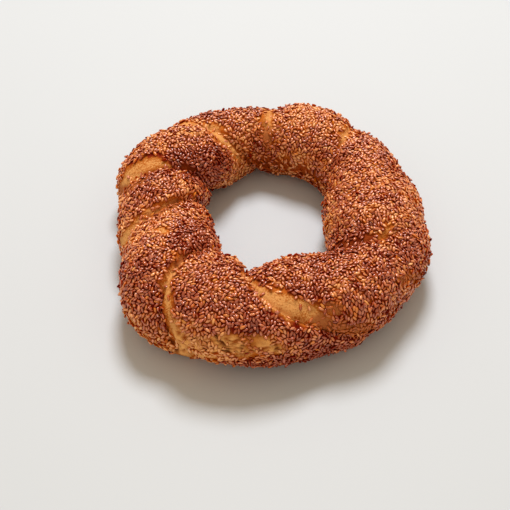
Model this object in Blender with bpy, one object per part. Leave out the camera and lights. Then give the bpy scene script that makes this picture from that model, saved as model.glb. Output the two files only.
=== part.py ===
"""Simit: a ring bread twisted from two ropes of dough and baked on a flat tray.

The ring lies flat, crown up. The origin is under the middle of the ring, on the surface
that it rests on. Headings run counterclockwise from +X, seen from above, in degrees.
Section angles run round the rope of dough: 0 is the outer side of the ring, 90 the crown,
180 the side towards the hole and 270 the underside.
"""
import bpy
import numpy as np

NAME = "simit"
MM = 0.001

# The rope of dough, every 20 degrees of heading from 0: how far its middle is from the
# middle of the ring, and how wide it is. A hand-shaped ring is nowhere quite round.
ROPE_DISTANCE_MM = [54, 54, 60, 67, 70, 71, 70, 69, 68, 60, 62.5, 69.5, 76, 70.5, 65.5, 66.5, 62, 56]
ROPE_WIDTH_MM = [56, 53, 48, 46, 46, 41, 47, 54, 54, 53, 54, 66, 65, 63, 58, 57, 54, 61]

# A wide stretch of the rope has risen higher than a narrow one.
LEAST_RISE_MM = 20
RISE_PER_WIDTH = 0.4

# The creases where one strand of dough dips under the other. Each has its heading on the
# outer side, at the crown and on the inner side, and then its depth on the outer and the
# inner side, as shares of the rope's half width. The deepest fold is at the front right,
# and it runs out before it reaches the outer side.
CREASES = [
    (30, 8, -15, 0.04, 0.06),
    (62, 53, 44, 0.12, 0.16),
    (91, 92, 100, 0.14, 0.12),
    (149, 123, 107, 0.16, 0.18),
    (173, 163, 146, 0.18, 0.22),
    (200, 187, 166, 0.15, 0.20),
    (237, 227, 227, 0.20, 0.14),
    (290, 260, 247, 0.14, 0.24),
    (358, 323, 298, 0.05, 0.28),
]

# How square a strand's section is, from 1 (two round strands) towards 0, and how soft
# the bottom of a crease is.
STRAND_SQUARENESS = 0.8
CREASE_SOFTNESS = 0.012

# The section: the level of its widest point as a share of its height, and how much
# further than the tray its lower half would bulge. The tray has pressed that part flat.
WIDEST_LEVEL = 0.46
UNDERSIDE_BULGE = 1.25

SEGMENTS_ROUND_THE_RING = 120
SEGMENTS_ROUND_THE_ROPE = 40

CRUST_COLOUR = (0.42, 0.16, 0.05, 1.0)
CRUST_ROUGHNESS = 0.6


def clear_scene():
    for old in list(bpy.data.objects):
        bpy.data.objects.remove(old, do_unlink=True)


def curve_through(before, start, end, after, share):
    """Smooth curve from start (share 0) to end (share 1), heading for its neighbours."""
    bend = 2 * before - 5 * start + 4 * end - after
    twist = 3 * start - before - 3 * end + after
    return start + 0.5 * ((end - before) * share + bend * share**2 + twist * share**3)


def along_ring(stations, heading):
    """Value at any heading of a size given at evenly spaced headings."""
    sizes = np.array(stations, dtype=float)
    place = heading / 360 * len(sizes)
    station = np.floor(place).astype(int)
    near = [sizes[(station + step) % len(sizes)] for step in (-1, 0, 1, 2)]
    return curve_through(*near, place - station)


def crease_headings(section_angle):
    """Headings of all the creases at one section angle, from -90 to 270 degrees.

    On the underside a crease runs on into the one two turns away, because the rope has
    two strands, so each crease's neighbours give the curve its ends.
    """
    outer, crown, inner = np.array(CREASES, dtype=float).T[:3]

    def shifted(headings, turns):
        crease = np.arange(len(headings)) + turns
        laps = crease // len(headings)
        return headings[crease % len(headings)] + 360 * laps

    quarters = [
        shifted(inner, 2), shifted(crown, 1), outer, crown, inner, shifted(crown, -1), shifted(outer, -2)
    ]
    quarter = min(int((section_angle + 90) // 90), 3)
    share = (section_angle + 90) / 90 - quarter
    return curve_through(*quarters[quarter:quarter + 4], share)


def strand_count(heading, section_angle):
    """How many creases lie before each point: a whole number exactly on a crease."""
    count = np.empty_like(heading)
    total = len(CREASES)
    numbers = np.arange(-total, 2 * total)
    for angle in np.unique(section_angle):
        headings = crease_headings((angle + 90) % 360 - 90)
        lines = np.concatenate([headings - 360, headings, headings + 360])
        same = section_angle == angle
        count[same] = np.interp(heading[same], lines, numbers)
    return count


def crease_depth(count, outward):
    """Depth of the creases near each point, blended from crease to crease and side to side.

    outward is 1 on the outer side of the ring and 0 on the inner side.
    """
    before = np.floor(count).astype(int)
    share = count - before
    blend = share * share * (3 - 2 * share)
    depth = 0
    for column, side in ((3, outward), (4, 1 - outward)):
        depths = np.array([crease[column] for crease in CREASES])
        near, far = depths[before % len(depths)], depths[(before + 1) % len(depths)]
        depth = depth + side * (near * (1 - blend) + far * blend)
    return depth


def dough_surface(heading, section_angle):
    """Points of the baked surface, in metres, for headings and section angles."""
    distance = along_ring(ROPE_DISTANCE_MM, heading)
    width = along_ring(ROPE_WIDTH_MM, heading)
    height = LEAST_RISE_MM + RISE_PER_WIDTH * width
    widest = WIDEST_LEVEL * height

    across = np.cos(np.radians(section_angle))
    upward = np.sin(np.radians(section_angle))
    count = strand_count(heading, section_angle)
    strand = (np.sin(np.pi * count) ** 2 + CREASE_SOFTNESS) ** (STRAND_SQUARENESS / 2)
    fullness = 1 - crease_depth(count, (1 + across) / 2) * (1 - strand)

    rise = np.where(upward > 0, height - widest, widest * UNDERSIDE_BULGE) * upward
    out = distance + width / 2 * across * fullness
    level = np.maximum(widest + rise * fullness, 0)
    turn = np.radians(heading)
    return np.stack([out * np.cos(turn), out * np.sin(turn), level], axis=-1) * MM


def make_ring():
    """A plain torus whose vertices are moved onto the baked surface."""
    bpy.ops.mesh.primitive_torus_add(
        major_segments=SEGMENTS_ROUND_THE_RING,
        minor_segments=SEGMENTS_ROUND_THE_ROPE,
        major_radius=1.0,
        minor_radius=0.25,
    )
    ring = bpy.context.object
    ring.name = NAME
    ring.data.name = NAME

    plain = np.empty(len(ring.data.vertices) * 3)
    ring.data.vertices.foreach_get("co", plain)
    x, y, z = plain.reshape(-1, 3).T
    heading = np.degrees(np.arctan2(y, x)) % 360
    section_angle = np.round(np.degrees(np.arctan2(z, np.hypot(x, y) - 1)) % 360, 1)

    points = dough_surface(heading, section_angle)
    middle = (points.min(axis=0) + points.max(axis=0)) / 2
    points -= [middle[0], middle[1], 0]
    ring.data.vertices.foreach_set("co", points.ravel())
    ring.data.update()
    ring.data.shade_smooth()
    return ring


def crust_material():
    crust = bpy.data.materials.new("crust")
    crust.use_nodes = True
    shader = crust.node_tree.nodes["Principled BSDF"]
    shader.inputs["Base Color"].default_value = CRUST_COLOUR
    shader.inputs["Roughness"].default_value = CRUST_ROUGHNESS
    shader.inputs["Metallic"].default_value = 0.0
    return crust


def main():
    clear_scene()
    parts = bpy.data.collections.new(NAME)
    bpy.context.scene.collection.children.link(parts)

    ring = make_ring()
    for home in list(ring.users_collection):
        home.objects.unlink(ring)
    parts.objects.link(ring)
    ring.data.materials.append(crust_material())


main()
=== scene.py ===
"""Simit: the baked looks of a ring bread twisted from two ropes of dough and coated in sesame.

Lengths are in millimetres and angles in degrees until a mesh is made, which is in metres.
Headings run counterclockwise from +X, seen from above. Section angles run round the rope of
dough: 0 is the outer side of the ring, 90 the crown, 180 the side towards the hole and 270
the underside.
"""

import bpy
import numpy as np
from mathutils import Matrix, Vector, kdtree, noise


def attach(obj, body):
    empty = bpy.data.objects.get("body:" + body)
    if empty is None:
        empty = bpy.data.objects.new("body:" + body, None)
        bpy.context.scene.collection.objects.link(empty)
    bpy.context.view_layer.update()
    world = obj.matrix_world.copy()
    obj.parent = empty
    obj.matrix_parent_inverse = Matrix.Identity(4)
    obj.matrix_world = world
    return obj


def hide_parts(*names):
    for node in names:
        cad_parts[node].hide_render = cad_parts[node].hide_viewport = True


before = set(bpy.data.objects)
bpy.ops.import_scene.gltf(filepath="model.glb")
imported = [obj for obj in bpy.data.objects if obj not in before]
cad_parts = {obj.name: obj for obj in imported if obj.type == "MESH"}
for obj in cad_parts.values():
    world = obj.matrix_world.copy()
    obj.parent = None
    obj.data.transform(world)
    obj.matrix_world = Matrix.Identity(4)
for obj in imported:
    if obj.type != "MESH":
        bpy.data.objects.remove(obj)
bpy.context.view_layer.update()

MM = 0.001
RANDOM_SEED = 41

# ---- The dough ----
#
# The same rope and creases as those of the solid that the crust stands for.

# Every 20 degrees of heading: how far the rope's middle is from the ring's, and its width.
# A wide stretch has risen higher than a narrow one.
ROPE_DISTANCE = [54, 54, 60, 67, 70, 71, 70, 69, 68, 60, 62.5, 69.5, 76, 70.5, 65.5, 66.5, 62, 56]
ROPE_WIDTH = [56, 53, 48, 46, 46, 41, 47, 54, 54, 53, 54, 66, 65, 63, 58, 57, 54, 61]
LEAST_RISE = 20
RISE_PER_WIDTH = 0.4

# Each crease: its heading on the outer side, at the crown and on the inner side, its depth
# on the outer and the inner side as shares of half the width, and how far one strand tucks
# under the other (above 0 the strand ahead lies on top, below 0 the one behind).
CREASES = [
    (30, 8, -15, 0.04, 0.06, 0.0),
    (62, 53, 44, 0.12, 0.16, 0.6),
    (91, 92, 100, 0.14, 0.12, 0.0),
    (149, 123, 107, 0.16, 0.18, 0.5),
    (173, 163, 146, 0.18, 0.22, 0.8),
    (200, 187, 166, 0.15, 0.20, -0.3),
    (237, 227, 227, 0.20, 0.14, -0.5),
    (290, 260, 247, 0.14, 0.24, -0.9),
    (358, 323, 298, 0.05, 0.28, -0.9),
]

# The section: how square a strand is, how soft the bottom of a crease is, how high up its
# widest point lies, and how much further than the tray its lower half would bulge.
STRAND_SQUARENESS = 0.8
CREASE_SOFTNESS = 0.002
WIDEST_LEVEL = 0.46
UNDERSIDE_BULGE = 1.25

# The solid goes round the coated bread, so the crust lies this much deeper.
COAT_THICKNESS = 1.2

# The folded edge at a crease: a narrow groove, and a step up onto the strand on top. Both
# grow with the depth of the crease.
GROOVE_DEPTH = 1.1
GROOVE_WIDTH = 1.6
STEP_HEIGHT = 0.9
STEP_REACH = 8.0
FULL_CREASE_DEPTH = 0.16

# Baked unevenness: how big the swellings are, and how high, and the same for the rumples
# of the pale foot. The seeds below the underside hold it above the tray.
SWELLINGS = [(19, 0.7), (7, 0.3), (2.8, 0.15)]
RUMPLES = (2.7, 1.4)
UNDERSIDE_LIFT = 0.6
CRACK_DEPTH = 1.5

# The grid: its columns gather at the creases, and its rows gather at the crown.
COLUMNS_PER_STRAND = 54
COLUMNS = COLUMNS_PER_STRAND * len(CREASES)
ROWS = 196
COLUMN_GATHERING = 0.4
ROW_GATHERING = 0.05

# ---- The bare crust ----
#
# Where the coat is missing or thin, as strokes of (heading, section angle, half width).

# Where the dough is bare: the stretched folds, the foot and the spots between them.
BARE_STROKES = [
    [(166, 13, 2.2), (166, 31, 3.7), (164, 43, 4.6), (163, 55, 5.0), (161, 67, 5.0), (159, 78, 4.0),
     (158, 88, 2.8), (158, 97, 1.6), (158, 104, 0.9)],
    [(129, 48, 1.5), (128, 57, 1.9), (127, 64, 1.5), (126, 72, 0.8), (124, 81, 1.2), (123, 85, 2.1),
     (121, 96, 3.1), (120, 107, 3.2), (120, 119, 2.8), (117, 131, 2.2), (117, 139, 1.8),
     (114, 150, 1.5), (113, 162, 1.2), (112, 171, 0.8)],
    [(91, 60, 1.0), (92, 71, 2.1), (93, 91, 2.6), (94, 105, 1.8), (94, 119, 2.6), (95, 134, 1.8)],
    [(193, 4, 3.1), (194, 18, 3.1), (194, 30, 2.5), (193, 42, 2.0), (192, 50, 1.6), (191, 60, 1.3),
     (190, 67, 1.2), (189, 78, 1.1), (187, 89, 1.0), (185, 98, 0.7), (183, 107, 0.4)],
    [(207, 84, 0.7), (210, 87, 1.0)],
    [(227, 91, 0.9), (228, 83, 1.7), (228, 77, 2.2), (229, 67, 2.6), (230, 59, 2.6), (232, 54, 2.3),
     (233, 49, 2.2), (235, 43, 2.2), (236, 37, 2.2), (238, 30, 2.2), (239, 24, 2.3), (240, 16, 2.6),
     (241, 10, 3.1), (242, -2, 3.7), (242, -28, 4.1), (242, -38, 3.5)],
    [(243, -31, 1.4), (246, -14, 1.4), (249, -11, 1.4), (252, -4, 1.2)],
    [(256, 28, 1.0), (257, 24, 1.7), (258, 17, 1.9), (259, 9, 1.2)],
    [(259, 2, 0.9), (262, 3, 0.9)],
    [(263, 28, 1.1), (265, 23, 1.7), (267, 17, 1.6), (269, 12, 1.0)],
    [(255, 104, 0.8), (257, 109, 1.3), (259, 98, 1.9), (262, 87, 2.5), (265, 77, 3.5), (268, 70, 4.6),
     (271, 63, 5.1), (273, 57, 5.5), (276, 52, 5.6), (279, 48, 5.4), (281, 43, 4.7), (282, 38, 3.7),
     (284, 32, 2.6), (285, 31, 1.4)],
    [(335, 70, 0.5), (333, 75, 0.9), (330, 78, 1.1), (327, 81, 0.9), (325, 84, 0.5)],
    [(56, 55, 0.7), (54, 76, 1.5), (53, 89, 1.7), (52, 101, 0.8)],
    [(223, -4, 0.7), (225, -5, 0.9), (228, -10, 0.6), (232, -21, 0.7), (234, -28, 1.4),
     (236, -35, 1.9), (238, -35, 1.7)],
]
# Where the crust is brown and smooth, and holds only a few seeds.
BLUSH_STROKES = [
    [(284, 31, 4.0), (286, 24, 4.2), (289, 15, 4.0), (292, 11, 3.7), (295, 8, 3.7), (298, 3, 3.1),
     (302, -6, 2.2)],
    [(191, 67, 2.8), (191, 83, 3.5), (188, 97, 3.1), (182, 113, 2.8)],
    [(319, 31, 2.5), (324, 19, 2.8), (331, -3, 2.2)],
    [(310, -1, 2.5), (314, -1, 1.9)],
    [(288, 49, 3.1), (291, 43, 3.1)],
    [(167, 6, 3.5), (174, 42, 3.5), (173, 53, 3.1), (171, 67, 2.8)],
    [(227, 87, 2.5), (227, 96, 2.5), (227, 108, 1.9)],
    [(94, 121, 2.6), (95, 137, 2.9), (95, 151, 2.6)],
]
# Hollows in the folds and on the inner wall: thinly coated with seeds, and dark with painted shade.
SHADED_HOLLOW_STROKES = [
    [(301, 127, 2.6), (311, 155, 3.3), (315, 145, 3.6), (316, 134, 3.9), (316, 118, 4.2),
     (320, 108, 3.6), (323, 100, 2.6), (326, 96, 2.0)],
    [(154, 115, 1.8), (152, 128, 2.4), (149, 142, 2.1)],
    [(254, 116, 2.5), (258, 116, 3.1)],
    [(114, 128, 1.1), (113, 143, 1.4), (110, 160, 1.4)],
    [(106, 186, 3.7), (101, 181, 5.2), (95, 196, 5.9), (88, 190, 6.3), (79, 192, 7.0), (70, 191, 7.4),
     (62, 193, 7.0), (55, 186, 4.4)],
]
# Where the crust is pale and the seeds are baked into it.
SUNKEN_STROKES = [
    [(241, 16, 2.5), (244, 15, 3.7), (247, 14, 4.3), (249, 14, 4.6), (253, 20, 4.6), (256, 19, 4.9),
     (260, 21, 5.2), (264, 21, 4.9), (267, 17, 3.7), (271, 8, 2.5)],
    [(244, -30, 2.1), (248, -12, 1.6), (252, -2, 1.2)],
    [(241, 12, 1.9), (242, -2, 2.8), (242, -28, 3.1)],
    [(136, 84, 2.8), (134, 94, 3.5), (131, 101, 3.1)],
    [(128, 205, 2.8), (120, 200, 3.5), (109, 201, 4.2)],
]
# Hair-thin cracks in the foot, sunk in and painted dark for the shade inside them.
CRACKS = [
    [(252, 30, 0.5), (253, 27, 0.8), (254, 23, 0.6), (255, 14, 0.7), (256, 7, 0.6), (257, 2, 0.4)],
    [(237, 16, 0.5), (237, 0, 0.7), (238, -9, 0.9), (240, -19, 1.0), (239, -34, 0.8)],
    [(260, 22, 0.4), (260, 12, 0.6), (260, 4, 0.4)],
    [(269, 17, 0.4), (270, 8, 0.5)],
]

# The share of the seeds, and of the syrup glaze, that each kind of crust goes without.
COVER_LOSS = {
    "clear": 1.0, "blush": 0.4, "shaded_hollow": 0.55, "sunken": 0.2, "under": 0.65, "fringe": 0.3,
    "crack": 0.8,
}
GLAZE_LOSS = {"bare": 1.0, "blush": 0.8, "sunken": 0.85, "fringe": 0.5}

# Patches of uneven browning: how big they are, and how strong.
MOTTLING = [(24, 0.18), (5, 0.22)]

# How the crust is browned, together with painted shade in recesses and on faces turned from the light
# and painted light on low faces:
# spots of (heading, section angle, reach, strength in tenths). Above 0 is darker and below 0 lighter.
BROWNING_AND_SHADING_SPOTS = [
    (131, 148, 12, 9), (141, 116, 12, 10), (179, 81, 14, 6), (216, 117, 14, 10), (220, 46, 11, 4),
    (230, 39, 8, 3), (235, 15, 9, 5), (256, 67, 11, 4), (265, 53, 8, 6), (279, 85, 12, 6),
    (312, 122, 12, 10), (320, 150, 12, 5), (28, 140, 12, 2), (282, 5, 14, 6), (149, 113, 8, 10),
    (83, 146, 9, 9), (122, 193, 8, -5), (155, 124, 8, 6), (166, 12, 12, -9), (96, 112, 8, -3),
    (337, 103, 12, -5), (202, 70, 12, -10), (195, 108, 9, -6), (257, 22, 18, -9), (287, 46, 8, -3),
    (93, 109, 5, 5), (282, 112, 8, -4), (277, 40, 5, 5), (39, 97, 8, -5), (312, 12, 7, -4),
    (285, -15, 14, 6), (225, -22, 12, -5), (12, 130, 10, -4), (45, 135, 10, 4), (165, 168, 9, 5),
    (345, 165, 10, -6), (217, 29, 8, -2), (301, 99, 5, -9), (317, 85, 5, -4), (196, 32, 7, 5),
    (179, 84, 9, -3), (246, 92, 8, -4), (281, 104, 10, -5), (100, 150, 8, 6), (80, 175, 18, -9),
    (242, 0, 9, -10), (111, 164, 8, -9), (178, 121, 9, -5), (129, 190, 12, -4), (216, 91, 6, 5),
    (179, 74, 7, 2), (139, 45, 8, -6), (104, 135, 8, -5), (250, 17, 6, 10), (262, 19, 6, 9),
    (294, 72, 8, -2), (300, 85, 9, 4), (66, 70, 9, 3), (125, 72, 6, -8), (75, 97, 14, -3),
    (351, 82, 9, 3), (134, 88, 9, -6), (249, 62, 8, 3), (53, 80, 6, -9), (123, 87, 5, -9),
    (133, 50, 9, -3), (265, -24, 11, 7), (331, 92, 7, 6), (3, 26, 8, -6), (301, 114, 7, 7),
    (286, 130, 8, -4), (274, 29, 7, 6), (204, 166, 8, 6), (306, 40, 7, 6), (313, 53, 10, 3),
    (265, 101, 6, 5), (52, 54, 7, 4), (191, 9, 8, -5), (334, 124, 7, 5), (343, 39, 8, 5),
    (28, 83, 8, 4), (67, 131, 8, 4), (237, 61, 7, 4), (242, 42, 7, 4), (283, 28, 7, -5),
    (328, -3, 8, -4), (116, 125, 6, -5), (104, 98, 7, -4), (23, 58, 10, 7), (157, 146, 7, 4),
    (92, 180, 7, 4), (157, 86, 7, 4), (331, 40, 10, 11), (261, 38, 7, 13), (141, 107, 7, -7),
    (333, 158, 10, -9), (161, 75, 8, 6), (161, 62, 8, 7), (161, 50, 9, 6), (212, 87, 9, -7),
    (246, 68, 15, 3), (250, 73, 6, -3), (240, -16, 9, -9), (274, 116, 7, 5), (146, 91, 7, -5),
    (316, -10, 8, 5), (193, 6, 7, -5), (260, 53, 6, -5), (162, 44, 5, 4), (260, 77, 6, 5),
    (18, 106, 7, 4), (43, 108, 7, 4), (325, 113, 6, 4), (243, 135, 5, 4), (55, 72, 5, -4),
    (344, 138, 7, 4), (283, 60, 6, 4), (136, 119, 6, -4), (216, 8, 7, -4), (21, 83, 22, -3),
    (88, 188, 6, 3), (256, 54, 7, 6), (256, 37, 7, 6), (208, 67, 8, 9), (315, 67, 7, 5),
    (84, 60, 6, 4), (65, 57, 6, -5), (353, 17, 7, 4), (295, 128, 7, -7), (227, 73, 7, 8),
    (112, 114, 6, 5), (320, 24, 7, -5), (273, -25, 8, 8), (127, 140, 6, -5), (135, 97, 6, 4),
    (169, 55, 8, -9), (248, 135, 7, -10), (216, 155, 7, 8), (251, 26, 6, 5), (181, 96, 7, 6),
    (258, -7, 6, 6), (213, 75, 6, 6), (258, -24, 7, 5), (199, 71, 6, 5), (199, -6, 6, 4),
    (128, 46, 6, -4), (320, -12, 7, 5), (299, -2, 7, -4), (270, 43, 6, 4), (163, 79, 6, -4),
    (58, 162, 7, 4), (253, 5, 6, -9), (248, 2, 6, -6), (281, 38, 6, 4), (214, 93, 6, -5),
    (314, 86, 6, -5), (224, 164, 6, -5), (258, 126, 6, 9), (210, 20, 8, 8), (121, 43, 7, 6),
    (284, 114, 7, 9), (86, 68, 6, 4), (101, 70, 6, 4), (247, 109, 6, 4),
]

# Seeds that have strayed onto the bare crust.
STRAY_SEEDS = [
    (191, 55), (191, 62), (189, 75), (188, 86), (186, 95), (194, 34), (285, 35), (287, 25),
    (289, 20), (283, 28), (291, 8), (281, 51), (125, 76), (126, 90), (113, 157), (111, 172),
    (166, 39), (168, 16), (282, 56), (264, 80), (270, 79), (230, 58), (165, 60), (159, 98),
    (171, 52), (286, 42), (250, 3), (255, 14), (260, 10), (123, 90), (201, 42), (238, 29),
    (240, -19), (278, 54), (274, 44), (161, 91), (165, 37), (92, 89), (94, 103), (94, 117), (91, 60),
    (53, 86), (335, 70), (126, 71), (121, 96), (118, 126), (119, 107), (191, 59), (190, 71),
    (193, 45), (280, 63), (258, 105), (267, 66), (281, 35), (228, 79), (234, 51), (123, 81),
    (123, 116), (117, 137), (200, 31), (192, 52), (188, 81), (94, 76), (93, 129),
]

# ---- The sesame ----

SEED_LENGTH = 3.25
SEED_WIDTH = 1.64
SEED_THICKNESS = 1.12
SMALLEST_SEED = (0.88, 0.88, 0.85)
LARGEST_SEED = (1.12, 1.14, 1.15)

# How far apart the seeds lie, how far they keep from bare crust, how many lie on top of
# the others, and how many throws it takes to fill a place.
SEED_SPACING = 1.54
SEED_CLEARANCE = 0.8
TOP_LAYER_SHARE = 0.18
THROWS_PER_PLACE = 5

# Shaking the coat down: how many steps it takes, how many of them go by before the seeds
# look for their neighbours again, and how much of each push is taken.
SETTLING_STEPS = 48
STEPS_TOGETHER = 4
SETTLING_PACE = 0.5

# A seed is felt out as three balls: how far each is from its middle, and its radius.
SEED_BALLS = (
    (-0.29 * SEED_LENGTH, 0.39 * SEED_WIDTH),
    (0.0, 0.5 * SEED_WIDTH),
    (0.29 * SEED_LENGTH, 0.39 * SEED_WIDTH),
)

# Rolling has turned neighbouring seeds somewhat the same way: how much, and over what size.
DRIFT = 2.0
DRIFT_SIZE = 14

# How deep a seed sits, and how much deeper at the edge of bare crust and on pale crust.
# The top layer lies higher by a share of a seed's thickness.
SEED_SINK = 0.05
BAKED_IN_SINK = 0.34
EDGE_SINK = 0.15
PALE_SINK = 0.22
TOP_LAYER_LIFT = 0.75

# How unevenly the seeds lie: how much their heights and their tilts vary, how the tilt
# differs on top and where they are baked in, and the share that is tilted twice as much.
LIFT_SPREAD = 0.16
BAKED_IN_LIFT_SPREAD = 0.1
TILT_SPREAD = 0.27
TOP_LAYER_TILT = 0.1
BAKED_IN_TILT = 0.6
STEEP_SHARE = 0.02

# How loosely the seeds' shades follow the crust's, and the share that can have any shade.
TONE_SPREAD = 0.22
SHADE_SPREAD = 0.18
ANY_SHADE_SHARE = 0.08

# The seeds under the ring are pressed flat this far above the tray.
TRAY_GAP = 0.05

# ---- The room ----

CAMERA_AIM = (-7.7, -4.4, 0.0)
CAMERA_DISTANCE = 668.1
CAMERA_ELEVATION = 45.66
CAMERA_LENS = 85

# In metres and watts: where each light is, how wide it is and how strong.
LIGHTS = {
    "key_light": ((0.06, 1.05, 1.69), 0.75, 34.4),
    "front_fill": ((-0.5, -1.5, 0.45), 1.2, 2.0),
}
GLOW_COLOUR = (1.0, 0.85, 0.62, 1.0)
GLOW_STRENGTH = 0.61
FLOOR_SIZE = 6.0


# ---- Small helpers ----


def unit(vectors):
    """The same vectors, one long."""
    return vectors / np.maximum(np.linalg.norm(vectors, axis=-1, keepdims=True), 1e-9)


def dot(first, second):
    """Dot products, as a column that can multiply the vectors."""
    return (first * second).sum(axis=-1, keepdims=True)


def eased(low, high, values):
    """0 below low, 1 above high, and smooth between. With low above high it falls instead."""
    share = np.clip((values - low) / (high - low), 0, 1)
    return share * share * (3 - 2 * share)


def uneven(points, size, layer):
    """Smooth unevenness between about -1 and 1, with swellings about this size across.

    Each use has a layer of its own, so that no two are alike.
    """
    places = (points / size + 17.3 * layer).reshape(-1, 3).tolist()
    return np.array([noise.noise(place) for place in places]).reshape(points.shape[:-1]) * 1.6


# ---- The dough's form ----


def curve_through(before, start, end, after, share):
    """Smooth curve from start (share 0) to end (share 1), heading for its neighbours."""
    bend = 2 * before - 5 * start + 4 * end - after
    twist = 3 * start - before - 3 * end + after
    return start + 0.5 * ((end - before) * share + bend * share**2 + twist * share**3)


def along_ring(stations, heading):
    """Value at any heading of a size given at evenly spaced headings."""
    sizes = np.array(stations, dtype=float)
    place = heading / 360 * len(sizes)
    station = np.floor(place).astype(int)
    near = [sizes[(station + step) % len(sizes)] for step in (-1, 0, 1, 2)]
    return curve_through(*near, place - station)


def crease_headings(section_angle):
    """Headings of all the creases at one section angle, from -90 to 270 degrees.

    The rope has two strands, so on the underside a crease runs on into the next but one.
    """
    outer, crown, inner = np.array(CREASES, dtype=float).T[:3]

    def shifted_on(headings, turns):
        crease = np.arange(len(headings)) + turns
        return headings[crease % len(headings)] + 360 * (crease // len(headings))

    quarters = [
        shifted_on(inner, 2), shifted_on(crown, 1), outer, crown, inner,
        shifted_on(crown, -1), shifted_on(outer, -2),
    ]
    quarter = min(int((section_angle + 90) // 90), 3)
    share = (section_angle + 90) / 90 - quarter
    return curve_through(*quarters[quarter:quarter + 4], share)


def crease_lines(section_angle):
    """Three laps of crease headings at one section angle, and their numbers."""
    headings = crease_headings(section_angle)
    numbers = np.arange(-len(CREASES), 2 * len(CREASES))
    return np.concatenate([headings - 360, headings, headings + 360]), numbers


def tucked(share, behind, ahead):
    """The share of its strand, bent so that the strand rises steeply where it lies on top."""
    start = 1 + np.where(behind > 0, 0.6, 0.5) * behind
    end = 1 - np.where(ahead < 0, 0.6, 0.5) * ahead
    return share * (start + share * (3 - 2 * start - end + share * (start + end - 2)))


def by_crease(column, crease):
    """One column of the table of creases, for arrays of crease numbers."""
    values = np.array([row[column] for row in CREASES], dtype=float)
    return values[crease.astype(int) % len(values)]


def blended_depth(crease, share, outward):
    """Depth of the creases near each point, blended from crease to crease and side to side."""
    blend = share * share * (3 - 2 * share)
    outer, inner = (
        by_crease(column, crease) * (1 - blend) + by_crease(column, crease + 1) * blend
        for column in (3, 4)
    )
    return outer * outward + inner * (1 - outward)


# ---- The grid that follows the strands ----


def wrapped(column, row):
    """Column and row brought back onto the grid: once round the rope is two strands on."""
    laps = row // ROWS
    return (column - laps * 2 * COLUMNS_PER_STRAND) % COLUMNS, row - laps * ROWS


def neighbours(field, columns, rows):
    """A field of the grid as read this many columns and rows further on."""
    column, row = np.meshgrid(np.arange(COLUMNS) + columns, np.arange(ROWS) + rows, indexing="ij")
    return field[wrapped(column, row)]


def sample(field, column, row):
    """A field's values between the columns and rows of its grid."""
    low_column, low_row = np.floor(column), np.floor(row)
    total = 0
    for step_column in (0, 1):
        for step_row in (0, 1):
            weight = abs(1 - step_column - column + low_column) * abs(1 - step_row - row + low_row)
            near = wrapped((low_column + step_column).astype(int), (low_row + step_row).astype(int))
            total = total + (weight[..., None] if field.ndim == 3 else weight) * field[near]
    return total


def column_shares():
    """Share of its strand at each column of one strand: the columns gather at the creases."""
    even = np.arange(COLUMNS_PER_STRAND + 1) / COLUMNS_PER_STRAND
    return even - COLUMN_GATHERING * np.sin(2 * np.pi * even) / (2 * np.pi)


def row_angles():
    """Section angle of each row, from -90 to 270: the rows gather at the crown."""
    even = np.arange(ROWS + 1) / ROWS
    return -90 + 360 * (even + ROW_GATHERING * np.sin(2 * np.pi * even))


def grid_place(heading, section_angle):
    """Column and row of a place given by its heading and section angle."""
    lines, numbers = crease_lines((section_angle + 90) % 360 - 90)
    count = np.interp(heading, lines, numbers)
    strand = np.floor(count)
    steps = np.interp(count - strand, column_shares(), np.arange(COLUMNS_PER_STRAND + 1))
    row = np.interp((section_angle + 90) % 360 - 90, row_angles(), np.arange(ROWS + 1))
    return strand * COLUMNS_PER_STRAND + steps, row


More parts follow.
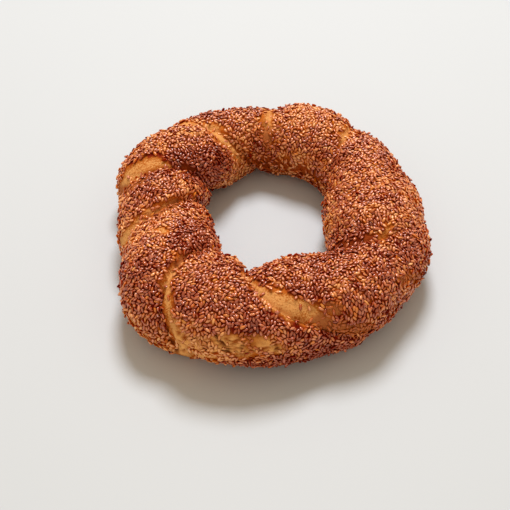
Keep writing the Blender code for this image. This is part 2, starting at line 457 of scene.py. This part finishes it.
class Crust:
    """The baked surface as a grid of points, and what is known about each point."""

    def __init__(self):
        self.strand = np.repeat(np.arange(len(CREASES)), COLUMNS_PER_STRAND)[:, None]
        self.share = np.tile(column_shares()[:-1], len(CREASES))[:, None]
        self.angle = row_angles()[None, :-1]
        lines = [crease_lines(angle) for angle in self.angle[0]]
        count = (self.strand + self.share)[:, 0]
        self.heading = np.stack([np.interp(count, numbers, line) for line, numbers in lines], axis=1)
        self.shape_dough()
        self.fold_edges()
        self.swell()
        self.rest_on_tray()

    def shape_dough(self):
        """The twisted rope of dough, with its middle over the origin."""
        width = along_ring(ROPE_WIDTH, self.heading)
        height = LEAST_RISE + RISE_PER_WIDTH * width
        widest = WIDEST_LEVEL * height
        across, upward = np.cos(np.radians(self.angle)), np.sin(np.radians(self.angle))

        share = tucked(self.share, by_crease(5, self.strand), by_crease(5, self.strand + 1))
        strand = (np.sin(np.pi * share) ** 2 + CREASE_SOFTNESS) ** (STRAND_SQUARENESS / 2)
        self.depth = blended_depth(self.strand, self.share, (1 + across) / 2)
        fullness = 1 - self.depth * (1 - strand)

        rise = np.where(upward > 0, height - widest, widest * UNDERSIDE_BULGE) * upward
        out = along_ring(ROPE_DISTANCE, self.heading) + width / 2 * across * fullness
        level = np.maximum(widest + rise * fullness, 0)
        turn = np.radians(self.heading)
        points = np.stack([out * np.cos(turn), out * np.sin(turn), level], axis=-1)
        middle = (points.min(axis=(0, 1)) + points.max(axis=(0, 1))) / 2
        self.points = points - [middle[0], middle[1], 0]
        self.height = level / height
        self.measure_creases()
        self.find_normals()
        self.move_out(np.full(level.shape, -COAT_THICKNESS))

    def measure_creases(self):
        """How far each point is from the crease behind it and the crease ahead of it."""
        first_column = self.strand[:, 0] * COLUMNS_PER_STRAND
        behind = self.points[first_column]
        ahead = neighbours(self.points, COLUMNS_PER_STRAND, 0)[first_column]
        self.behind = np.linalg.norm(self.points - behind, axis=-1)
        self.ahead = np.linalg.norm(self.points - ahead, axis=-1)

    def find_normals(self):
        along = neighbours(self.points, 1, 0) - neighbours(self.points, -1, 0)
        around = neighbours(self.points, 0, 1) - neighbours(self.points, 0, -1)
        self.normals = unit(np.cross(along, around))

    def move_out(self, amount):
        self.points = self.points + self.normals * amount[..., None]
        self.find_normals()

    def fold_edges(self):
        """The groove of each crease, and the step from the strand below to the one on top."""
        amount = 0
        strength = np.clip(self.depth / FULL_CREASE_DEPTH, 0, 1.2)
        for distance, ahead in ((self.behind, 0), (self.ahead, 1)):
            tuck = by_crease(5, self.strand + ahead) * (-1 if ahead else 1)
            width = GROOVE_WIDTH * (1 - 0.4 * tuck)
            amount = amount - GROOVE_DEPTH * strength * np.exp(-((distance / width) ** 1.5))
            amount = amount + STEP_HEIGHT * strength * tuck * np.exp(-distance / STEP_REACH)
        self.move_out(amount * eased(0.03, 0.2, self.height))

    def patches(self, table, first_layer):
        """Sum of the unevennesses in a table of sizes and heights."""
        return sum(height * uneven(self.points, size, first_layer + number)
                   for number, (size, height) in enumerate(table))

    def swell(self):
        """Uneven swelling, which the tray has kept flat underneath."""
        self.move_out(self.patches(SWELLINGS, 0) * eased(0.0, 0.12, self.height))

    def rest_on_tray(self):
        """The underside, pressed flat but slightly wrinkled, with room for the seeds below it."""
        wrinkled = UNDERSIDE_LIFT * (1 + 0.35 * uneven(self.points, 5, 5))
        lowered = (wrinkled - COAT_THICKNESS) * eased(0.06, 0.0, self.height)
        self.points[..., 2] = np.maximum(self.points[..., 2] + lowered, wrinkled)
        self.find_normals()

    def stroke_mask(self, strokes, margin=0.0, softness=0.5, raggedness=0.18):
        """1 inside the strokes, widened by a margin, and 0 outside, with an uneven soft edge."""
        ragged = 1 + raggedness * uneven(self.points, 2.6, 3)
        mask = np.zeros(self.points.shape[:2])
        for stroke in strokes:
            places = [grid_place(heading, angle) for heading, angle, _ in stroke]
            spots = [sample(self.points, *map(np.array, place)) for place in places]
            widths = [half_width for _, _, half_width in stroke]
            for start, end, wide, next_wide in zip(spots, spots[1:], widths, widths[1:]):
                line = end - start
                share = np.clip(dot(self.points - start, line) / dot(line, line), 0, 1)
                distance = np.linalg.norm(self.points - start - share * line, axis=-1)
                reach = (wide + (next_wide - wide) * share[..., 0]) * ragged + margin
                inside = 1 - eased(-softness, softness, distance - reach)
                mask = np.maximum(mask, inside)
        return mask

    def left_by(self, losses):
        """What is left of 1 after each kind of crust has taken its share away."""
        left = 1
        for name, share in losses.items():
            left = left * (1 - share * getattr(self, name))
        return left

    def near_spots(self, spots):
        """Sum of the spots' strengths, each fading with distance from its middle."""
        total = 0
        for heading, angle, reach, tenths in spots:
            middle = sample(self.points, *map(np.array, grid_place(heading, angle)))
            distance = np.linalg.norm(self.points - middle, axis=-1)
            total = total + tenths / 10 * np.exp(-((distance / reach) ** 2))
        return total

    def paint(self):
        """How bare, blushed, sunken, cracked, covered, glazed and toasted each point is, and where
        the hollows and dents lie. Hollows, dents and cracks carry painted shade, and the toasting
        carries browning together with painted shade and painted light.
        """
        self.bare = self.stroke_mask(BARE_STROKES, raggedness=0.3)
        self.core = self.stroke_mask(BARE_STROKES, -0.9, softness=1.6)
        self.fringe = self.stroke_mask(BARE_STROKES, 2.2, softness=2.2)
        self.clear = self.stroke_mask(BARE_STROKES, SEED_CLEARANCE, raggedness=0.5)
        self.blush = self.stroke_mask(BLUSH_STROKES, softness=1.6)
        self.shaded_hollow = self.stroke_mask(SHADED_HOLLOW_STROKES, softness=1.8)
        self.sunken = self.stroke_mask(SUNKEN_STROKES, softness=1.4)
        self.crack = self.stroke_mask(CRACKS, softness=0.45, raggedness=0.8)
        self.under = eased(0.16, 0.02, self.height)
        self.cover = self.left_by(COVER_LOSS)
        self.glaze = self.left_by(GLAZE_LOSS)
        # The spots add painted shade and painted light to the browning.
        spotted = 0.5 * self.near_spots(BROWNING_AND_SHADING_SPOTS)
        toast_and_shading = 0.5 + spotted - 0.2 * self.fringe + self.patches(MOTTLING, 8)
        self.toast_and_shading = np.clip(toast_and_shading, 0, 1)
        size, height = RUMPLES
        rumpled = uneven(self.points, size, 11) * self.sunken
        # Painted shade in the low spots of the rumples.
        self.dent_shade = eased(0.1, -0.45, rumpled)
        self.move_out(height * rumpled - CRACK_DEPTH * self.crack)


# ---- The sesame coat ----


def tree_of(places):
    tree = kdtree.KDTree(len(places))
    for number, place in enumerate(places):
        tree.insert(place, number)
    tree.balance()
    return tree


def spread_out(places, spacing):
    """Numbers of the places that stay when no two may be closer together than the spacing."""
    tree = tree_of(places)
    kept, taken = [], np.zeros(len(places), bool)
    for number, place in enumerate(places):
        if not taken[number]:
            kept.append(number)
            for _, other, _ in tree.find_range(place, spacing):
                taken[other] = True
    return np.array(kept)


def close_pairs(places, reach):
    """Every pair of places closer together than reach, as two lists of numbers."""
    tree = tree_of(places)
    pairs = [
        (number, other)
        for number, place in enumerate(places)
        for _, other, _ in tree.find_range(place, reach)
        if other > number
    ]
    return np.array(pairs).T


def throw_seeds(crust, cover, spacing, random):
    """Column and row of seeds thrown evenly over the crust where it is covered."""
    along = neighbours(crust.points, 1, 0) - crust.points
    around = neighbours(crust.points, 0, 1) - crust.points
    area = np.linalg.norm(np.cross(along, around), axis=-1)
    chance = (area * cover).ravel()
    throws = int(THROWS_PER_PLACE * chance.sum() / spacing**2)
    cell = random.choice(chance.size, throws, p=chance / chance.sum())
    column, row = np.divmod(cell, ROWS)
    column, row = column + random.random(throws), row + random.random(throws)
    kept = spread_out(sample(crust.points, column, row), spacing)
    return column[kept], row[kept]


def summed(numbers, vectors, count):
    """Sum of the vectors that share a number."""
    return np.stack([np.bincount(numbers, axis, count) for axis in vectors.T], axis=-1)


class Seeds:
    """Seeds that lie on the crust, each with its place on the grid and the way it points."""

    def __init__(self, crust, column, row, random):
        self.crust, self.column, self.row = crust, column, row
        places = sample(crust.points, column, row)
        drift = np.stack([uneven(places, DRIFT_SIZE, layer) for layer in (21, 22, 23)], axis=-1)
        self.direction = unit(random.normal(size=(len(column), 3)) + DRIFT * drift)
        self.stand()

    def stand(self):
        """Finds the seeds' places and normals, and turns the seeds along the crust."""
        self.places = sample(self.crust.points, self.column, self.row)
        self.normals = unit(sample(self.crust.normals, self.column, self.row))
        self.direction = unit(self.direction - dot(self.direction, self.normals) * self.normals)

    def slide(self, push):
        """Moves the seeds over the crust by a push in millimetres, two cells at most."""
        points, column, row = self.crust.points, self.column, self.row
        along = sample(points, column + 0.5, row) - sample(points, column - 0.5, row)
        around = sample(points, column, row + 0.5) - sample(points, column, row - 0.5)
        mixed = dot(along, around)
        area = np.maximum(dot(along, along) * dot(around, around) - mixed**2, 1e-4)
        by_column = (dot(push, along) * dot(around, around) - dot(push, around) * mixed) / area
        by_row = (dot(push, around) * dot(along, along) - dot(push, along) * mixed) / area
        steps = np.clip(np.concatenate([by_column, by_row], axis=-1), -2, 2)
        self.column, self.row = wrapped(column + steps[:, 0], row + steps[:, 1])
        self.stand()

    def settle(self, steps):
        """Pushes and turns overlapping seeds apart, as shaking the coat down does."""
        count = len(self.column)
        for step in range(steps):
            if step % STEPS_TOGETHER == 0:
                first, second = close_pairs(self.places, SEED_LENGTH)
            push, turn = np.zeros((count, 3)), np.zeros((count, 3))
            for first_arm, first_size in SEED_BALLS:
                for second_arm, second_size in SEED_BALLS:
                    from_arm = first_arm * self.direction[first]
                    to_arm = second_arm * self.direction[second]
                    gap = self.places[second] + to_arm - self.places[first] - from_arm
                    distance = np.linalg.norm(gap, axis=-1, keepdims=True)
                    overlap = np.maximum(first_size + second_size - distance, 0)
                    shove = 0.5 * overlap * gap / np.maximum(distance, 1e-6)
                    push += summed(second, shove, count) - summed(first, shove, count)
                    turn += summed(second, np.cross(to_arm, shove), count)
                    turn -= summed(first, np.cross(from_arm, shove), count)
            turned = np.cross(SETTLING_PACE * turn, self.direction)
            self.direction = unit(self.direction + turned)
            self.slide(SETTLING_PACE * push)

    def keep(self, wanted):
        self.column, self.row = self.column[wanted], self.row[wanted]
        self.direction = self.direction[wanted]
        self.stand()


def lay_coat(crust, random):
    """All the seeds: one settled layer, a few more lying across it, and the strays."""
    coated = (crust.clear < 0.5).astype(float)
    bottom = Seeds(crust, *throw_seeds(crust, coated, SEED_SPACING, random), random)
    bottom.settle(SETTLING_STEPS)
    # Chance decides which seeds stay where the cover is thin.
    cover = sample(crust.cover, bottom.column, bottom.row)
    bottom.keep(cover > 0.1 + 0.85 * random.random(len(cover)))
    dense = crust.cover**3 * (1 - crust.sunken) * eased(0.12, 0.3, crust.height)
    sparse = SEED_SPACING / TOP_LAYER_SHARE**0.5
    top = Seeds(crust, *throw_seeds(crust, dense, sparse, random), random)
    stray = Seeds(crust, *np.array([grid_place(*place) for place in STRAY_SEEDS]).T, random)
    return bottom, top, stray


# ---- Nodes ----


class Socket:
    """A node's output that takes part in Python expressions on values."""

    def __init__(self, tree, output):
        self.tree, self.output = tree, output

    def __add__(self, other):
        return self.tree.math("ADD", self, other)

    def __sub__(self, other):
        return self.tree.math("SUBTRACT", self, other)

    def __rsub__(self, other):
        return self.tree.math("SUBTRACT", other, self)

    def __mul__(self, other):
        return self.tree.math("MULTIPLY", self, other)

    __radd__ = __add__


class Tree:
    """A shader or geometry tree under construction."""

    def __init__(self, tree):
        self.tree = tree

    def node(self, kind, settings=None, sockets=None, output=0):
        """Adds a node: its settings first, then the values or links of its sockets."""
        made = self.tree.nodes.new(kind)
        for setting, value in (settings or {}).items():
            setattr(made, setting, value)
        for socket, value in (sockets or {}).items():
            self.feed(made.inputs[socket], value)
        return Socket(self, made.outputs[output])

    def feed(self, socket, value):
        if isinstance(value, Socket):
            self.tree.links.new(value.output, socket)
        else:
            socket.default_value = value

    def math(self, operation, first, second):
        return self.node("ShaderNodeMath", {"operation": operation}, {0: first, 1: second})

    def axes(self, vector):
        """The three parts of a vector."""
        return [self.node("ShaderNodeSeparateXYZ", None, {0: vector}, axis) for axis in range(3)]

    def mix(self, share, first, second):
        """Two colours mixed: the first at a share of 0, and the second at 1."""
        first, second = (
            (*colour, 1.0) if isinstance(colour, tuple) else colour for colour in (first, second)
        )
        sockets = {0: share, 6: first, 7: second}
        return self.node("ShaderNodeMix", {"data_type": "RGBA"}, sockets, output=2)

    def between(self, value, low, high):
        """The value brought from low-high to 0-1, and kept there."""
        sockets = {"Value": value, "From Min": low, "From Max": high}
        return self.node("ShaderNodeMapRange", {"interpolation_type": "SMOOTHSTEP"}, sockets)


class Finish(Tree):
    """A material under construction round its Principled BSDF."""

    def __init__(self, name):
        self.material = bpy.data.materials.new(name)
        self.material.use_nodes = True
        super().__init__(self.material.node_tree)
        self.shader = self.tree.nodes["Principled BSDF"]
        self.position = self.node("ShaderNodeTexCoord", output="Object")

    def attribute(self, name):
        """What was kept under a name for each point of the mesh."""
        return self.node("ShaderNodeAttribute", {"attribute_name": name}, output="Fac")

    def grain(self, size, detail=2.0, roughness=0.5):
        """Noise whose grains are about this many millimetres across."""
        sockets = {"Vector": self.position, "Scale": 1 / (size * MM), "Detail": detail,
                   "Roughness": roughness}
        return self.node("ShaderNodeTexNoise", None, sockets)

    def bump(self, height, depth, normal=None):
        """A bump whose height of 1 stands this many millimetres proud."""
        sockets = {"Height": height, "Distance": depth * MM}
        if normal:
            sockets["Normal"] = normal
        return self.node("ShaderNodeBump", None, sockets)

    def set(self, **sockets):
        """Gives the shader its inputs, and hands over the finished material."""
        for name, value in sockets.items():
            self.feed(self.shader.inputs[name.replace("_", " ")], value)
        return self.material


# The crust's colours.
GOLDEN_CRUST = (0.77, 0.355, 0.112)
BROWN_CRUST = (0.46, 0.115, 0.010)
BLUSH_CRUST = (0.44, 0.125, 0.034)
PALE_CRUST = (0.97, 0.46, 0.140)
TANNED_CRUST = (0.60, 0.20, 0.035)
# Painted shade in the dents of the pale crust.
DENT_SHADE = (0.40, 0.085, 0.008)
# Between the seeds: molasses glaze, darkened further as painted shade in the gaps.
GLAZE_AND_GAP_SHADE = (0.21, 0.007, 0.0002)
ORANGE_GLAZE = (0.57, 0.130, 0.009)
# Painted shade in the hollows, darker where the toasting is stronger.
HOLLOW_SHADE = (0.38, 0.065, 0.006)
DEEP_HOLLOW_SHADE = (0.22, 0.030, 0.003)
UNDER_CRUST = (0.44, 0.14, 0.03)
# Painted shade inside the cracks.
CRACK_SHADE = (0.20, 0.038, 0.004)


def crust_finish():
    """Golden where the dough is bare, and dark where the seeds stick: grape molasses glaze with
    painted shade in the gaps between the seeds.
    """
    crust = Finish("baked_crust")
    blotches, specks = crust.grain(6, 3), crust.grain(0.9, 2, 0.6)
    toast_and_shading = crust.attribute("toast_and_shading")
    # The toasting value is browning together with painted shade and painted light.
    baked = toast_and_shading * 0.5 - crust.attribute("core") * 0.55 + 0.55
    browned = crust.between(baked + (blotches - 0.5) * 0.9 + (specks - 0.5) * 2.4, 0.1, 0.9)
    colour = crust.mix(browned, GOLDEN_CRUST, BROWN_CRUST)
    colour = crust.mix(crust.attribute("blush") * 0.9, colour, BLUSH_CRUST)
    pale = crust.mix(crust.between(toast_and_shading, 0.35, 0.9), PALE_CRUST, TANNED_CRUST)
    # The pale crust, with painted shade in its dents.
    patchy = crust.mix(crust.attribute("dent_shade"), pale, DENT_SHADE)
    colour = crust.mix(crust.attribute("sunken") * 0.8, colour, patchy)
    glazed = crust.attribute("glaze") + (crust.grain(1.4, 2) - 0.5) * 0.6
    # The colour between the seeds: glaze together with painted shade in the gaps.
    syrup_and_shade = crust.mix(crust.between(toast_and_shading, 0.25, 0.8), ORANGE_GLAZE, GLAZE_AND_GAP_SHADE)
    deep = crust.mix(crust.between(toast_and_shading, 0.4, 0.9), HOLLOW_SHADE, DEEP_HOLLOW_SHADE)
    # In the hollows the colour between the seeds is painted shade.
    syrup_and_shade = crust.mix(crust.attribute("shaded_hollow"), syrup_and_shade, deep)
    colour = crust.mix(crust.between(glazed, 0.2, 0.8), colour, syrup_and_shade)
    colour = crust.mix(crust.attribute("under"), colour, UNDER_CRUST)
    # Painted shade inside the cracks.
    colour = crust.mix(crust.attribute("crack"), colour, CRACK_SHADE)
    relief = crust.bump(crust.grain(0.9, 3, 0.65), 0.55)
    relief = crust.bump(crust.grain(3.0, 3), 0.35, relief)
    roughness = 0.50 + specks * 0.2
    return crust.set(Base_Color=colour, Roughness=roughness, Normal=relief, Specular_IOR_Level=0.06)


def seed_finish(name, light, dark, flank_stain_and_shade, gloss):
    """Toasted sesame of one kind, darker round its flanks and glossy on its crown; the dark flanks
    are stained with molasses and carry painted shade.
    """
    seed = Finish(name)
    mottled = seed.attribute("tone") + (seed.grain(0.6, 2) - 0.5) * 0.5
    colour = seed.mix(seed.between(mottled, 0.0, 1.0), light, dark)
    colour = seed.mix(seed.between(seed.attribute("along"), 0.5, 1.1), colour, dark)
    crown_share = seed.attribute("crown") + (seed.grain(0.8, 2) - 0.5) * 0.5
    # Below the crown the flanks take the darker colour: molasses staining and painted shade.
    colour = seed.mix(seed.between(crown_share, -0.08, 0.82), flank_stain_and_shade, colour)
    relief = seed.bump(seed.grain(0.35, 2), 0.05)
    shine = seed.between(seed.attribute("crown"), 0.2, 0.8) * gloss
    return seed.set(Base_Color=colour, Roughness=0.6, Normal=relief, Specular_IOR_Level=0.04,
                    Coat_Weight=shine, Coat_Roughness=0.25, Coat_IOR=1.75)


def floor_finish():
    floor = Finish("pale_floor")
    colour = floor.mix(floor.grain(90, 2) * 0.15, (0.575, 0.61, 0.665), (0.545, 0.58, 0.63))
    return floor.set(Base_Color=colour, Roughness=0.6)


# ---- Pieces ----


def add_object(name, data):
    piece = bpy.data.objects.new(name, data)
    bpy.context.scene.collection.objects.link(piece)
    return piece


def store(mesh, name, values, kind="FLOAT"):
    """Keeps one value or vector for each point of a mesh, under a name."""
    field = {"FLOAT": "value", "FLOAT_VECTOR": "vector"}[kind]
    flat = np.ascontiguousarray(values).ravel()
    mesh.attributes.new(name, kind, "POINT").data.foreach_set(field, flat)


def crust_piece(crust):
    """The crust as one closed grid of faces, whose last row joins the first two strands on."""
    column, row = np.meshgrid(np.arange(COLUMNS), np.arange(ROWS), indexing="ij")
    corners = []
    for step_column, step_row in ((0, 0), (1, 0), (1, 1), (0, 1)):
        near_column, near_row = wrapped(column + step_column, row + step_row)
        corners.append(near_column * ROWS + near_row)
    mesh = bpy.data.meshes.new("simit_crust")
    faces = np.stack(corners, axis=-1).reshape(-1, 4).tolist()
    mesh.from_pydata((crust.points * MM).reshape(-1, 3).tolist(), [], faces)
    mesh.shade_smooth()
    for name in ("core", "blush", "shaded_hollow", "sunken", "dent_shade", "crack", "glaze", "under", "toast_and_shading"):
        store(mesh, name, getattr(crust, name))
    mesh.materials.append(crust_finish())
    return add_object("simit_crust", mesh)


SEED_SIZES = {"Seed Length": SEED_LENGTH, "Seed Width": SEED_WIDTH, "Seed Thickness": SEED_THICKNESS}


def seed_coat_tree():
    """Geometry nodes that lay a seed on each point, turned by the point's normal and direction."""
    group = bpy.data.node_groups.new("seed_coat", "GeometryNodeTree")
    sizes = dict.fromkeys(SEED_SIZES, "Float")
    kinds = {"Geometry": "Geometry", **sizes, "Random Seed": "Int", "Finish": "Material"}
    for name, kind in kinds.items():
        group.interface.new_socket(name, in_out="INPUT", socket_type="NodeSocket" + kind)
    group.interface.new_socket("Geometry", in_out="OUTPUT", socket_type="NodeSocketGeometry")
    tree = Tree(group)
    inputs = group.nodes.new("NodeGroupInput")
    given = {socket.name: Socket(tree, socket) for socket in inputs.outputs if socket.name}

    def named(name):
        settings = {"data_type": "FLOAT_VECTOR"}
        return tree.node("GeometryNodeInputNamedAttribute", settings, {"Name": name})

    def step(mesh, kind, **sockets):
        return tree.node("GeometryNode" + kind, None, {"Geometry": mesh, **sockets})

    # The seed: a ball drawn out along X with blunt ends, flattened, and tapered towards its
    # tip at +X. The ball's radius is 1, so it is scaled by half of each size.
    ball = tree.node("GeometryNodeMeshUVSphere", None, {"Segments": 8, "Rings": 4, "Radius": 1.0})
    side, up, along = tree.axes(tree.node("GeometryNodeInputPosition"))
    taper = 1 - along * 0.24 - along * along * 0.08
    half = MM / 2
    shaped = tree.node("ShaderNodeCombineXYZ", None, {
        0: along * (1.22 - along * along * 0.22) * given["Seed Length"] * half,
        1: side * taper * given["Seed Width"] * half,
        2: up * taper * given["Seed Thickness"] * half,
    })
    seed = step(ball, "StoreNamedAttribute", Name="along", Value=along * 0.5 + 0.5)
    seed = step(seed, "StoreNamedAttribute", Name="crown", Value=up)
    seed = step(seed, "SetPosition", Position=shaped)

    turned = tree.node("FunctionNodeAxesToRotation", {"primary_axis": "Z", "secondary_axis": "X"},
                       {0: named("seed_normal"), 1: named("seed_direction")})
    size = tree.node("FunctionNodeRandomValue", {"data_type": "FLOAT_VECTOR"}, {
        0: SMALLEST_SEED, 1: LARGEST_SEED, "Seed": given["Random Seed"]})
    coat = tree.node("GeometryNodeInstanceOnPoints", None, {
        "Points": given["Geometry"], "Instance": seed, "Rotation": turned, "Scale": size})
    coat = step(coat, "RealizeInstances")

    # The tray presses the seeds below the crust flat.
    x, y, level = tree.axes(tree.node("GeometryNodeInputPosition"))
    level = tree.math("MAXIMUM", level, TRAY_GAP * MM)
    pressed = tree.node("ShaderNodeCombineXYZ", None, {0: x, 1: y, 2: level})
    coat = step(coat, "SetPosition", Position=pressed)
    coat = step(coat, "SetShadeSmooth")
    coat = step(coat, "SetMaterial", Material=given["Finish"])
    outputs = group.nodes.new("NodeGroupOutput")
    tree.feed(outputs.inputs["Geometry"], coat)
    return group


def seed_piece(name, group, finish, places, normals, directions, tones, number):
    """One kind of seed as one plain mesh, with a tone kept for each seed."""
    points = bpy.data.meshes.new(name + "_points")
    points.from_pydata((places * MM).tolist(), [], [])
    store(points, "seed_normal", normals, "FLOAT_VECTOR")
    store(points, "seed_direction", directions, "FLOAT_VECTOR")
    store(points, "tone", tones)
    maker = add_object(name + "_points", points)
    modifier = maker.modifiers.new("coat", "NODES")
    modifier.node_group = group
    values = {**SEED_SIZES, "Random Seed": number, "Finish": finish}
    for item in group.interface.items_tree:
        if item.in_out == "INPUT" and item.name in values:
            modifier[item.identifier] = values[item.name]
    depsgraph = bpy.context.evaluated_depsgraph_get()
    mesh = bpy.data.meshes.new_from_object(
        maker.evaluated_get(depsgraph), preserve_all_data_layers=True, depsgraph=depsgraph)
    bpy.data.objects.remove(maker)
    mesh.name = name
    return add_object(name, mesh)


# Kinds of seed from the darkest to the lightest: name, share of the coat, light colour,
# dark colour, the molasses staining with painted shade round the flanks, and gloss.
SEED_KINDS = [
    ("dark_seeds", 0.006, (0.42, 0.080, 0.024), (0.22, 0.027, 0.003), (0.12, 0.005, 0.0001), 1.0),
    ("chestnut_seeds", 0.244, (0.72, 0.218, 0.112), (0.37, 0.050, 0.004), (0.16, 0.005, 0.0001), 1.0),
    ("russet_seeds", 0.25, (0.82, 0.284, 0.128), (0.49, 0.083, 0.005), (0.23, 0.009, 0.0001), 1.0),
    ("copper_seeds", 0.25, (0.89, 0.352, 0.142), (0.60, 0.130, 0.008), (0.34, 0.024, 0.0002), 0.9),
    ("amber_seeds", 0.20, (0.94, 0.415, 0.163), (0.71, 0.186, 0.013), (0.46, 0.066, 0.001), 0.8),
    ("golden_seeds", 0.05, (0.96, 0.470, 0.193), (0.79, 0.265, 0.030), (0.57, 0.138, 0.008), 0.7),
]
BAKED_IN = ("baked_in_seeds", (0.97, 0.440, 0.155), (0.50, 0.115, 0.015), (0.28, 0.038, 0.001), 0.5)


def gathered(crust, groups, random):
    """Several groups of seeds as one, each seed pointing as it did."""
    seeds = Seeds(crust, *(np.concatenate([getattr(group, name) for group in groups])
                           for name in ("column", "row")), random)
    seeds.direction = np.concatenate([group.direction for group in groups])
    return seeds


def bed_down(crust, seeds, layer, toast_and_shading, random):
    """The seeds' places, normals and directions, and which of them are baked in."""
    count = len(layer)
    soft = sample(np.maximum(crust.sunken, 0.9 * crust.blush), seeds.column, seeds.row)
    baked_in = soft > 0.3 + 0.5 * random.random(count)

    sink = np.where(baked_in, BAKED_IN_SINK, SEED_SINK)
    edge = sample(crust.fringe, seeds.column, seeds.row)
    lift = 0.5 * SEED_THICKNESS - sink - EDGE_SINK * edge
    lift = lift - PALE_SINK * eased(0.55, 0.15, toast_and_shading)
    spread = np.where(baked_in, BAKED_IN_LIFT_SPREAD, LIFT_SPREAD)
    lift = lift + spread * random.normal(size=count) + layer * TOP_LAYER_LIFT * SEED_THICKNESS
    places = seeds.places + seeds.normals * lift[:, None]

    slope = (TILT_SPREAD + TOP_LAYER_TILT * layer) * np.where(baked_in, BAKED_IN_TILT, 1)
    tilt = slope[:, None] * random.normal(size=(count, 3))
    tilt[random.random(count) < STEEP_SHARE] *= 2
    normals = unit(seeds.normals + tilt)
    directions = seeds.direction * np.where(random.random((count, 1)) < 0.5, 1, -1)
    return (places, normals, directions), baked_in


def shades(crust, seeds, toast_and_shading, random):
    """The seeds' tones, and their order from the darkest (0) to the lightest (1)."""
    count = len(toast_and_shading)
    # The tones and the order follow the crust's browning, with its painted shade and light.
    tones = 0.7 * toast_and_shading + 0.15 + TONE_SPREAD * random.normal(size=count)
    tones = np.clip(tones + sample(crust.blush, seeds.column, seeds.row), 0, 1)
    lightness = -toast_and_shading - SHADE_SPREAD * random.normal(size=count)
    order = np.argsort(np.argsort(lightness)) / count
    shuffled = random.random(count) < ANY_SHADE_SHARE
    order[shuffled] = random.random(int(shuffled.sum()))
    return tones, order


def seed_pieces(crust, random):
    """The coat, sorted into its kinds of seed."""
    groups = lay_coat(crust, random)
    seeds = gathered(crust, groups, random)
    layer = np.repeat([0.0, 1.0, 0.0], [len(group.column) for group in groups])
    toast_and_shading = sample(crust.toast_and_shading, seeds.column, seeds.row)
    lying, baked_in = bed_down(crust, seeds, layer, toast_and_shading, random)
    tones, order = shades(crust, seeds, toast_and_shading, random)

    kinds, start = [], 0.0
    for name, share, *looks in SEED_KINDS:
        chosen = ~baked_in & (order >= start) & (order < start + share)
        kinds.append((name, *looks, chosen))
        start = start + share
    kinds.append((*BAKED_IN, baked_in))

    group = seed_coat_tree()
    pieces = []
    for number, (name, *looks, chosen) in enumerate(kinds):
        where = [values[chosen] for values in (*lying, tones)]
        pieces.append(seed_piece(name, group, seed_finish(name, *looks), *where, number))
    return pieces


# ---- The room ----


def add_floor():
    bpy.ops.mesh.primitive_plane_add(size=FLOOR_SIZE)
    floor = bpy.context.object
    floor.name = "floor"
    floor.data.materials.append(floor_finish())


def add_area_light(name, place, size, power):
    """A round soft light that shines at the middle of the ring."""
    light = bpy.data.lights.new(name, "AREA")
    light.shape, light.size, light.energy = "DISK", size, power
    lamp = add_object(name, light)
    lamp.location = place
    lamp.rotation_euler = (-Vector(place)).to_track_quat("-Z", "Y").to_euler()


def light_room():
    """Soft light from above and behind, and an even glow from all round."""
    for name, (place, size, power) in LIGHTS.items():
        add_area_light(name, place, size, power)
    world = bpy.data.worlds.new("studio")
    world.use_nodes = True
    glow = world.node_tree.nodes["Background"]
    glow.inputs["Color"].default_value = GLOW_COLOUR
    glow.inputs["Strength"].default_value = GLOW_STRENGTH
    bpy.context.scene.world = world
    bpy.context.scene.view_settings.view_transform = "Standard"


def add_camera():
    camera = bpy.data.cameras.new("camera")
    camera.lens, camera.sensor_width = CAMERA_LENS, 36
    camera.clip_start, camera.clip_end = 0.01, 20
    tilt = np.radians(CAMERA_ELEVATION)
    back = CAMERA_DISTANCE * np.array([0, -np.cos(tilt), np.sin(tilt)])
    viewer = add_object("camera", camera)
    viewer.location = (np.array(CAMERA_AIM) + back) * MM
    viewer.rotation_euler = (np.radians(90) - tilt, 0, 0)
    bpy.context.scene.camera = viewer


def build():
    random = np.random.default_rng(RANDOM_SEED)
    add_camera()
    add_floor()
    light_room()

    crust = Crust()
    crust.paint()
    skin = crust_piece(crust)
    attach(skin, "root")
    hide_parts("simit")
    for seeds in seed_pieces(crust, random):
        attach(seeds, "root")


build()
